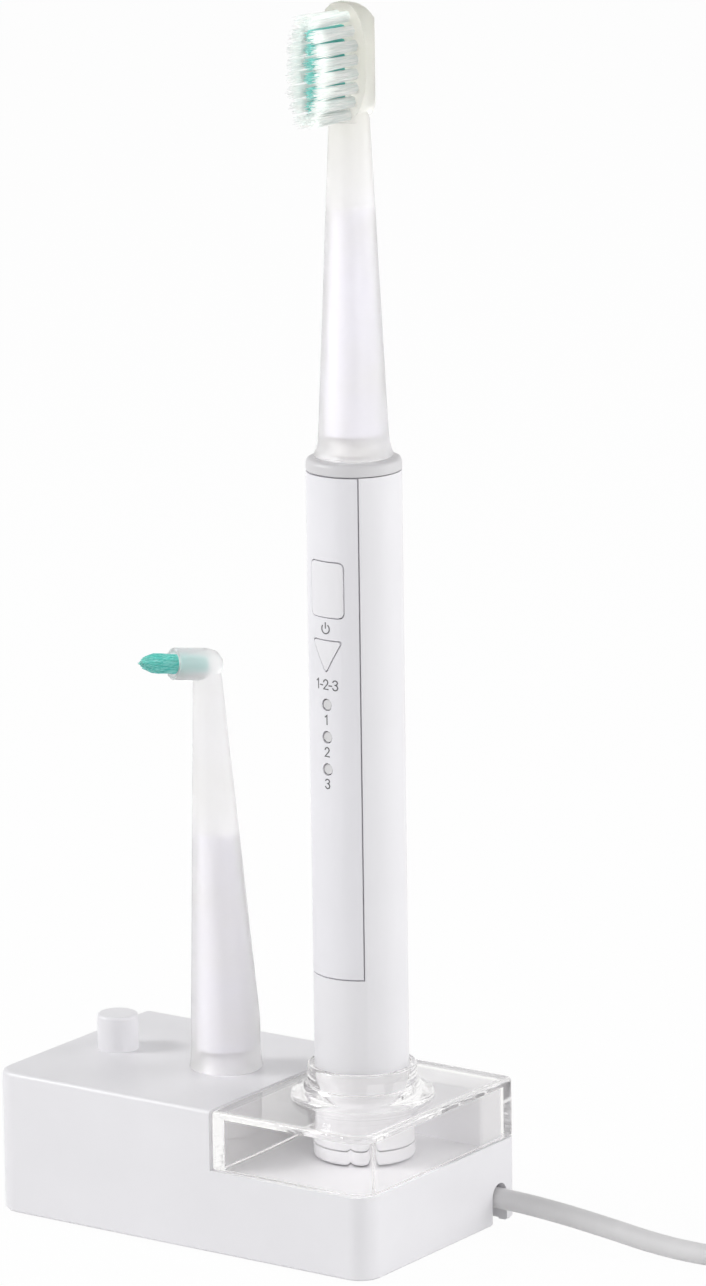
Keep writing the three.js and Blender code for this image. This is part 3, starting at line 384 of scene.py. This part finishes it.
def turned(x, y, z, turn, origin):
    """Where a point lands when its group is turned about the upright axis and then set at origin."""
    c, s = math.cos(turn), math.sin(turn)
    return (origin[0] + x * c - y * s, origin[1] + x * s + y * c, origin[2] + z)


# ---------------------------------------------------------------- cord, in millimetres
CORD_ROUTE = [
    (42.4, 21.8, 6.1),
    (48.5, 21.8, 6.1),
    (54.6, 21.8, 5.96),
    (64.8, 21.8, 5.3),
    (76.9, 21.8, 4.05),
    (86.5, 21.8, 2.95),
    (95.5, 22.0, 2.4),
    (106, 22.8, 2.28),
    (117, 23.2, 2.28),
    (135, 23.2, 2.28),
    (147, 23.2, 2.8),
]
COIL_CENTRE = (159, -10.6)
COIL_TURNS = (29, 24.5, 20)  # radii of the bottom layer's turns, outermost first
LEAD_IN = 4.8  # how far outside the outermost turn the cord arrives
LAYER_Z = (3.25, 7.75)  # heights of the cord's middle in the coil's two layers
LAST_BEND_X = COIL_CENTRE[0] + 11
PLUG_TAIL_X = 180.2  # where the cord ends, in the plug's back
TURN_STEPS = 18  # points along one turn
FIRST_JOG = 60  # degrees over which the cord settles from its way in to the outermost turn
JOG = 45  # degrees over which it steps from one turn to the next
CLIMB_TURN = 3  # the turn that starts with the step up to the top layer
CLIMB_LEAN = 2.6  # how far the cord leans inwards on that step


def smooth(t):
    """Eases from 0 to 1 while t goes from 0 to 1."""
    t = min(max(t, 0.0), 1.0)
    return t * t * (3 - 2 * t)


def coil_points():
    """Clockwise turns from the coil's far side: inwards along the table, a step up, and outwards again."""
    bottom, top = LAYER_Z
    radii = [COIL_TURNS[0] + LEAD_IN, *COIL_TURNS, *reversed(COIL_TURNS)]
    heights = [bottom if i <= CLIMB_TURN else top for i in range(len(radii))]
    points = []
    for turn in range(len(radii) - 1):
        for step in range(TURN_STEPS):
            angle = 360 / TURN_STEPS * step
            jog = smooth(angle / (JOG if turn else FIRST_JOG))
            radius = radii[turn] + (radii[turn + 1] - radii[turn]) * jog
            height = heights[turn] + (heights[turn + 1] - heights[turn]) * jog
            if turn == CLIMB_TURN:
                radius -= CLIMB_LEAN * math.sin(math.pi * min(angle / JOG, 1))
            around = math.radians(90 - angle)
            x = COIL_CENTRE[0] + radius * math.cos(around)
            y = COIL_CENTRE[1] + radius * math.sin(around)
            points.append((x, y, height))
    return points


def add_cord():
    """One round tube from the charger to the plug's tail, and its length."""
    last_y = COIL_CENTRE[1] + COIL_TURNS[0]
    way_out = [(x, last_y, LAYER_Z[1]) for x in (COIL_CENTRE[0], LAST_BEND_X, PLUG_TAIL_X)]
    points = [Vector(p) * MM for p in [*CORD_ROUTE, *coil_points(), *way_out]]
    curve = bpy.data.curves.new("power_cord", "CURVE")
    curve.dimensions = "3D"
    curve.bevel_depth = CORD_R
    curve.bevel_resolution = 4
    curve.resolution_u = 5
    curve.use_fill_caps = True
    spline = curve.splines.new("BEZIER")
    spline.bezier_points.add(len(points) - 1)
    for knot, point in zip(spline.bezier_points, points):
        knot.co = point
        knot.handle_left_type = knot.handle_right_type = "AUTO"
    curve.materials.append(SLOT_LOOKS["grey_cord"].data)
    cord = bpy.data.objects.new("power_cord", curve)
    scene.collection.objects.link(cord)
    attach(cord, "base")
    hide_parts("cord", "cord_coil", "cord_end")
    return cord, sum((a - b).length for a, b in zip(points, points[1:]))


cord, cord_length = add_cord()

# ---------------------------------------------------------------- bristles
FILAMENT_R = 0.09 * MM
SIDES = 5  # of a filament's cross-section
TIP_TAPER = 0.45  # share of the radius that is left at a filament's tip
FILAMENT_EDGE_ANGLE = math.radians(40)  # sharper than the angle between a filament's sides is an edge
GOLDEN_ANGLE = 2.39996  # radians between one filament of a round bundle and the next

# Height above or below the middle of the rows, and distance of the white tufts to either side, in mm.
ROW_SIDES = {10.15: 1.32, 7.25: 2.5, 4.35: 3.25, 1.45: 3.35}
OUTER_GREEN = 7  # green tufts further than this from the middle are the outer two, which splay less
OUTER_SPREAD = 0.7
TUFT_KNOTS = (0.0, 0.3, 0.62, 0.85, 1.0)  # shares of a filament's length
TUFT_SUNK = 1.2 * MM  # depth of a tuft's root in its hole
TUFT_JITTER = 0.2  # radians
TUFT_WANDER = 0.11  # millimetres by which a tip strays sideways
TUFT_RAGGED = 0.35 * MM  # spread of the filaments' lengths
SPLAY_POWER = 1.6  # above 1, a tuft splays mostly towards its tip

# Height of the barrel's back end on the spare head, its distance in front of the head's axis, the barrel's
# upward slope, and how far along it the tuft's root lies.
SPARE_BARREL = {"z": 88.7 * MM, "shift": 3.147 * MM, "rise": math.radians(9), "root": 0.953 * MM}
# Distance out along the spare head's tuft, and the tuft's radius there, in mm.
SPARE_PROFILE = (
    (0, 1.75), (7, 2.0), (8.8, 2.12), (11, 2.15), (12.6, 2.05), (14.2, 1.7), (15.3, 1.15), (16.1, 0.3),
)
SPARE_COUNT = 150
SPARE_FILAMENT_R = 0.13 * MM
SPARE_STEPS = 8  # straight lengths in a filament
SPARE_JITTER = 0.25  # radians
SPARE_SWIRL = 0.5  # radians that the tuft twists by at its tip
SPARE_DOME = 0.1  # share by which the outermost filaments are shorter
SPARE_RAGGED = 0.2  # spread of the filaments' lengths, in mm
SPARE_WANDER = 0.035  # millimetres by which a filament strays at each step


def filament(points, radius, vertices, faces):
    """One closed strand along points, tapered at its tip."""
    start = len(vertices)
    direction = (points[-1] - points[0]).normalized()
    side = direction.orthogonal().normalized()
    other = direction.cross(side)
    for i, point in enumerate(points):
        size = radius * (TIP_TAPER if i == len(points) - 1 else 1)
        for k in range(SIDES):
            angle = 2 * math.pi * k / SIDES
            vertices.append(point + side * math.cos(angle) * size + other * math.sin(angle) * size)
    for i in range(len(points) - 1):
        for k in range(SIDES):
            a, b = start + i * SIDES + k, start + i * SIDES + (k + 1) % SIDES
            faces.append((a, b, b + SIDES, a + SIDES))
    faces.append(tuple(start + k for k in reversed(range(SIDES))))
    last = start + (len(points) - 1) * SIDES
    faces.append(tuple(last + k for k in range(SIDES)))


def bundled(i, count, jitter, rng):
    """Distance and angle of filament i from the middle of a round bundle whose radius is 1."""
    return math.sqrt((i + 0.5) / count), i * GOLDEN_ANGLE + rng.uniform(-jitter, jitter)


def add_filaments(name, vertices, faces, body, slot, node):
    """The mesh of a group of filaments, smooth round each strand, in place of the CAD node."""
    piece = add_mesh(name, vertices, faces, SLOT_LOOKS[slot], body)
    piece.data.polygons.foreach_set("use_smooth", [True] * len(piece.data.polygons))
    piece.data.set_sharp_from_angle(angle=FILAMENT_EDGE_ANGLE)
    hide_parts(node)


def add_tufts(rng, name, node, slot, places, count, length, root, tip):
    """Tufts that leave holes in the plate in a tight bundle and splay towards their tips.
    Root and tip are a tuft's half width and half height."""
    vertices, faces = [], []
    for x, z, spread in places:
        for i in range(count):
            reach, angle = bundled(i, count, TUFT_JITTER, rng)
            aside, above = reach * math.cos(angle), reach * math.sin(angle)
            wander = [rng.gauss(0, TUFT_WANDER) * MM for _ in range(2)]
            far = length + rng.gauss(0, 1) * TUFT_RAGGED
            points = []
            for t in TUFT_KNOTS:
                half_width = root[0] + (tip[0] * spread - root[0]) * t ** SPLAY_POWER
                half_height = root[1] + (tip[1] - root[1]) * t ** SPLAY_POWER
                px = x + aside * half_width + wander[0] * t * t
                py = PLATE_FRONT + TUFT_SUNK - (far + TUFT_SUNK) * t
                pz = z + above * half_height + wander[1] * t * t
                points.append(Vector(turned(px, py, pz, HANDLE_TURN, (HANDLE_X, 0, ROWS_Z))))
            filament(points, FILAMENT_R, vertices, faces)
    add_filaments(name, vertices, faces, "brush_head", slot, node)


def add_bristles():
    """White tufts on both sides of the plate and shorter green ones down its middle."""
    rng = random.Random(7)
    rows = [*(-row for row in ROW_SIDES), *reversed(ROW_SIDES)]
    white = [(side * ROW_SIDES[abs(row)] * MM, row * MM, 1.0) for row in rows for side in (-1, 1)]
    green = [(0, row * MM, OUTER_SPREAD if abs(row) > OUTER_GREEN else 1.0) for row in rows[1:-1]]
    add_tufts(
        rng, "white_filaments", "white_bristles", "white_bristle", white, count=72,
        length=12 * MM, root=(1.04 * MM, 1.12 * MM), tip=(1.4 * MM, 1.46 * MM),
    )
    add_tufts(
        rng, "green_filaments", "green_bristles", "green_bristle", green, count=64,
        length=10.8 * MM, root=(1.02 * MM, 1.18 * MM), tip=(1.1 * MM, 1.18 * MM),
    )


def add_spare_tuft():
    """Coarse filaments gathered into a point, in the spare head's barrel."""
    rng = random.Random(11)
    outs = [out * MM for out, _ in SPARE_PROFILE]
    radii = [radius * MM for _, radius in SPARE_PROFILE]
    rise = SPARE_BARREL["rise"]
    vertices, faces = [], []
    for i in range(SPARE_COUNT):
        reach, angle = bundled(i, SPARE_COUNT, SPARE_JITTER, rng)
        last = outs[-1] * (1 - SPARE_DOME * reach ** 2) + rng.gauss(0, SPARE_RAGGED) * MM
        points = []
        for step in range(SPARE_STEPS + 1):
            along = last * step / SPARE_STEPS
            width = np.interp(along, outs, radii) * reach
            swirl = angle + SPARE_SWIRL * (along / outs[-1]) ** 2
            x = width * math.cos(swirl) + rng.gauss(0, SPARE_WANDER) * MM
            up = width * math.sin(swirl) + rng.gauss(0, SPARE_WANDER) * MM
            out = along + SPARE_BARREL["root"]
            y = -(out * math.cos(rise) - up * math.sin(rise)) - SPARE_BARREL["shift"]
            z = out * math.sin(rise) + up * math.cos(rise) + SPARE_BARREL["z"]
            points.append(Vector(turned(x, y, z, SPARE_TURN, (SPARE_X, 0, SPARE_Z))))
        filament(points, SPARE_FILAMENT_R, vertices, faces)
    add_filaments("spare_filaments", vertices, faces, "spare_head", "green_bristle", "spare_tuft")


add_bristles()
add_spare_tuft()

# ---------------------------------------------------------------- printed marks on the handle's panel
POWER_ARC = [
    (0.42 * math.sin(math.radians(angle)), 0.44 + 0.42 * math.cos(math.radians(angle)))
    for angle in range(38, 323, 15)
]
# Strokes of each sign, in shares of its height, and the width that it takes up.
STROKES = {
    "power": [POWER_ARC, [(0, 0.5), (0, 1.0)]],
    "1": [[(-0.2, 0.78), (0.04, 0.97), (0.04, 0.0)]],
    "2": [[
        (-0.27, 0.74), (-0.2, 0.9), (0.0, 1.0), (0.2, 0.92), (0.27, 0.74), (0.2, 0.55),
        (-0.28, 0.03), (0.3, 0.03),
    ]],
    "3": [[
        (-0.26, 0.82), (-0.16, 0.95), (0.02, 1.0), (0.2, 0.92), (0.25, 0.76), (0.17, 0.6), (-0.02, 0.54),
        (0.18, 0.48), (0.28, 0.28), (0.2, 0.08), (0.0, 0.0), (-0.18, 0.05), (-0.29, 0.2),
    ]],
    "-": [[(-0.17, 0.42), (0.17, 0.42)]],
}
ADVANCE = {"power": 1.0, "1": 0.5, "2": 0.62, "3": 0.62, "-": 0.5}
# Signs in a row, the height of their middle above the handle's foot, and their own height.
MARKS = (
    (["power"], 115.4 * MM, 2.4 * MM),
    (["1", "-", "2", "-", "3"], 103.4 * MM, 2.1 * MM),
    (["1"], 95.9 * MM, 2.0 * MM),
    (["2"], 89.0 * MM, 2.0 * MM),
    (["3"], 82.2 * MM, 2.0 * MM),
)
STROKE_WIDTH = 0.25 * MM
INK_INNER_R = HANDLE_R - 0.01 * MM
INK_OUTER_R = HANDLE_R + 0.03 * MM
MITRE_LIMIT = 0.5  # keeps the outer corner of a sharp bend within twice the stroke's half width
STROKE_OVERHANG = 0.3  # share of its width by which a stroke runs past its end points


def ribbon(line, width):
    """Left and right edge points of a stroke."""
    points = [Vector(p) for p in line]
    edges = []
    for i, point in enumerate(points):
        before = (point - points[i - 1]).normalized() if i else None
        after = (points[i + 1] - point).normalized() if i < len(points) - 1 else None
        along = ((before or after) + (after or before)).normalized()
        stretch = 1 / max(along.dot(after or before), MITRE_LIMIT)
        side = Vector((-along.y, along.x)) * width / 2 * stretch
        end = (after or before) * (width * STROKE_OVERHANG * ((after is None) - (before is None)))
        edges.append((point + side + end, point - side + end))
    return edges


def add_stroke(line, vertices, faces):
    """A stroke of ink wrapped round the handle, as a closed bar with four corners at each point."""
    start = len(vertices)
    edges = ribbon(line, STROKE_WIDTH)
    for left, right in edges:
        corners = ((left, INK_OUTER_R), (right, INK_OUTER_R), (right, INK_INNER_R), (left, INK_INNER_R))
        for point, radius in corners:
            angle = point[0] / HANDLE_R
            x, y = radius * math.sin(angle), -radius * math.cos(angle)
            vertices.append(turned(x, y, point[1], HANDLE_TURN, (HANDLE_X, 0, HANDLE_Z)))
    for i in range(len(edges) - 1):
        for k in range(4):
            a, b = start + 4 * i + k, start + 4 * i + (k + 1) % 4
            faces.append((a, b, b + 4, a + 4))
    faces.append((start + 3, start + 2, start + 1, start))
    last = start + 4 * (len(edges) - 1)
    faces.append((last, last + 1, last + 2, last + 3))


def add_marks():
    """Plain numbers and a power sign under the keys and beside the lights."""
    vertices, faces = [], []
    for signs, z, height in MARKS:
        widths = [ADVANCE[sign] * height for sign in signs]
        x = -sum(widths) / 2
        for sign, width in zip(signs, widths):
            for line in STROKES[sign]:
                placed = [(x + width / 2 + u * height, z + (v - 0.5) * height) for u, v in line]
                add_stroke(placed, vertices, faces)
            x += width
    ink = moulded("ink", srgb(92, 92, 95), 0.5)
    add_mesh("panel_marks", vertices, faces, ink, "handset")


add_marks()

# ---------------------------------------------------------------- stage and light
FLOOR_HALF = 3.0
FLOOR_Z = -0.0002  # just below the feet, so that the two don't share a plane
FLOOR_GLOW = 0.97  # share of plain white in the floor where the backdrop shows
HORIZON_LIGHT = 0.54
ZENITH_LIGHT = 0.28
BOUNCED_WHITE = 0.6  # the backdrop's strength on rays that have left a matt surface
LAMP_TARGET = Vector((0, 0, 0.1))
# Name, direction from the target, distance, width and watts.
LAMPS = (
    ("key_left", (-0.82, -0.57, 0.62), 1.3, 0.45, 8.4),
    ("fill_right", (0.85, 0.6, 0.35), 1.4, 1.3, 9.8),
    ("fill_front_right", (1.0, -0.5, 0.3), 1.4, 0.9, 4.6),
    ("fill_front", (-0.3, -1.0, 0.25), 1.5, 0.9, 2.0),
)


def backdrop_rays(tree, paths):
    """1 on the rays that show the backdrop: from the camera, off a gloss, or through clear plastic."""
    direct, gloss = paths.outputs["Is Camera Ray"], paths.outputs["Is Glossy Ray"]
    either = add_node(tree, "Math", {0: direct, 1: gloss}, operation="MAXIMUM")
    through = paths.outputs["Is Transmission Ray"]
    return add_node(tree, "Math", {0: either.outputs[0], 1: through}, operation="MAXIMUM").outputs[0]


def add_floor():
    """A pale floor that looks white, here and in reflections, and still takes a faint shadow."""
    mesh = bpy.data.meshes.new("floor")
    corners = [(x * FLOOR_HALF, y * FLOOR_HALF, 0) for x, y in ((-1, -1), (1, -1), (1, 1), (-1, 1))]
    mesh.from_pydata(corners, [], [(0, 1, 2, 3)])
    floor = bpy.data.objects.new("floor", mesh)
    floor.location.z = FLOOR_Z
    scene.collection.objects.link(floor)
    made = Material("floor", (0.86, 0.86, 0.86), 0.9)
    shown = backdrop_rays(made.tree, made.node("LightPath"))
    share = made.node("Math", {0: shown, 1: FLOOR_GLOW}, operation="MULTIPLY")
    made.mix_shader(share.outputs[0], made.node("Emission", {"Color": (1, 1, 1, 1), "Strength": 1.0}))
    mesh.materials.append(made.data)


def add_world():
    """Soft light that falls off from the horizon to overhead, and a white backdrop for the camera."""
    world = bpy.data.worlds.new("world")
    world.use_nodes = True
    tree = world.node_tree
    paths = add_node(tree, "LightPath")
    shown = backdrop_rays(tree, paths)
    place = add_node(tree, "TexCoord")
    height = add_node(tree, "SeparateXYZ", {0: place.outputs["Generated"]}).outputs["Z"]
    soft = add_node(tree, "MapRange", {"Value": height, "To Min": HORIZON_LIGHT, "To Max": ZENITH_LIGHT})
    bounces = paths.outputs["Diffuse Depth"]
    kept = add_node(tree, "MapRange", {"Value": bounces, "To Min": 1.0, "To Max": BOUNCED_WHITE})
    white = add_node(tree, "Math", {0: shown, 1: kept.outputs["Result"]}, operation="MULTIPLY")
    strength = add_node(tree, "MapRange", {
        "Value": white.outputs[0], "To Min": soft.outputs["Result"], "To Max": 1.0,
    })
    background = tree.nodes["Background"]
    background.inputs["Color"].default_value = (1, 1, 1, 1)
    tree.links.new(strength.outputs["Result"], background.inputs["Strength"])
    scene.world = world


def add_lamp(name, direction, distance, width, power):
    """A square soft box that faces the toothbrush. Rays through clear plastic don't show it, because open
    shadows already carry its light through."""
    data = bpy.data.lights.new(name, "AREA")
    data.energy = power
    data.size = width
    lamp = bpy.data.objects.new(name, data)
    lamp.location = LAMP_TARGET + Vector(direction).normalized() * distance
    lamp.rotation_mode = "QUATERNION"
    lamp.rotation_quaternion = (lamp.location - LAMP_TARGET).to_track_quat("Z", "Y")
    lamp.visible_transmission = False
    scene.collection.objects.link(lamp)


add_floor()
add_world()
for lamp in LAMPS:
    add_lamp(*lamp)

# Clear walls are many surfaces deep, and white bristles light one another.
scene.cycles.max_bounces = 64
scene.cycles.transmission_bounces = 64
scene.cycles.glossy_bounces = 64
scene.cycles.diffuse_bounces = 8
scene.view_settings.view_transform = "Standard"
